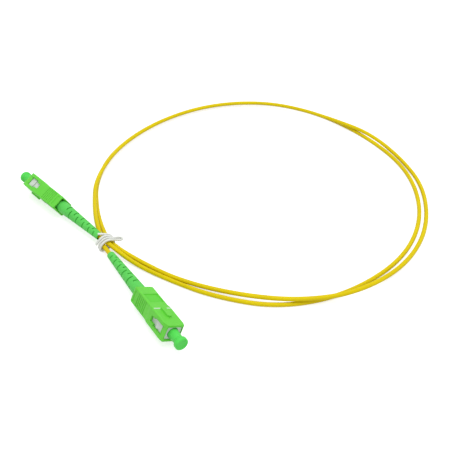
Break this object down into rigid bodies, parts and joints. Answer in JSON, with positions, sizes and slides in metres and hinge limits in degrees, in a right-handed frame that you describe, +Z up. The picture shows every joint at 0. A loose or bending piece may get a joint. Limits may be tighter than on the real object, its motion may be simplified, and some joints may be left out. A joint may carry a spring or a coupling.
{
  "type": "fibre optic patch cable",
  "caption": "Yellow simplex fibre patch cable in two loose turns, with a green push-pull plug, boot and dust cap at each end and a white wire tie round the bundle.",
  "frame": {"origin": "middle of the box round the two plugs with their boots and caps, on the surface that the cable lies on", "axes": "+Z up from that surface, +X to the right and +Y away as the part is pictured"},
  "size_m": [0.2045, 0.2024, 0.0116],
  "materials": {
    "green_sleeve": "moulded satin green plastic",
    "white_frame": "moulded white plastic",
    "zirconia": "polished white ceramic",
    "nickel_brass": "turned, nickel plated",
    "spring_steel": "drawn bright wire",
    "aramid": "loose straight yarn",
    "crimp_metal": "drawn and crimped",
    "white_buffer": "extruded coating",
    "green_boot": "moulded soft green",
    "green_cap": "moulded soft green",
    "yellow_jacket": "extruded satin yellow",
    "white_tie": "plastic coated wire"
  },
  "bodies": {
    "cable_and_frames": {"fibre_cable": "yellow_jacket", "wire_tie": "white_tie", "plug_frame_a": "white_frame", "back_body_a": "nickel_brass", "aramid_yarn_a": "aramid", "crimp_ring_a": "crimp_metal", "boot_a": "green_boot", "buffered_fibre_a": "white_buffer", "spring_a": "spring_steel", "plug_frame_b": "white_frame", "back_body_b": "nickel_brass", "aramid_yarn_b": "aramid", "crimp_ring_b": "crimp_metal", "boot_b": "green_boot", "buffered_fibre_b": "white_buffer", "spring_b": "spring_steel"},
    "sleeve_a": {"coupling_sleeve_a": "green_sleeve"},
    "ferrule_a": {"ferrule_a": "zirconia", "ferrule_collar_a": "nickel_brass"},
    "cap_a": {"dust_cap_a": "green_cap"},
    "sleeve_b": {"coupling_sleeve_b": "green_sleeve"},
    "ferrule_b": {"ferrule_b": "zirconia", "ferrule_collar_b": "nickel_brass"},
    "cap_b": {"dust_cap_b": "green_cap"}
  },
  "joints": [
    {"name": "sleeve_slide_a", "type": "slide", "parent": "cable_and_frames", "child": "sleeve_a", "axis": [-0.6981, 0.7153, 0.0314], "range_m": [-0.002, 0]},
    {"name": "ferrule_float_a", "type": "slide", "parent": "cable_and_frames", "child": "ferrule_a", "axis": [-0.6981, 0.7153, 0.0314], "range_m": [-0.001, 0], "stiffness_N_per_m": 1000, "springref_m": 0.003, "deforming": ["spring_a", "buffered_fibre_a"]},
    {"name": "cap_pull_a", "type": "slide", "parent": "cable_and_frames", "child": "cap_a", "axis": [-0.6981, 0.7153, 0.0314], "range_m": [0, 0.008]},
    {"name": "sleeve_slide_b", "type": "slide", "parent": "cable_and_frames", "child": "sleeve_b", "axis": [0.5369, -0.8427, 0.0393], "range_m": [-0.002, 0]},
    {"name": "ferrule_float_b", "type": "slide", "parent": "cable_and_frames", "child": "ferrule_b", "axis": [0.5369, -0.8427, 0.0393], "range_m": [-0.001, 0], "stiffness_N_per_m": 1000, "springref_m": 0.003, "deforming": ["spring_b", "buffered_fibre_b"]},
    {"name": "cap_pull_b", "type": "slide", "parent": "cable_and_frames", "child": "cap_b", "axis": [0.5369, -0.8427, 0.0393], "range_m": [0, 0.008]}
  ]
}
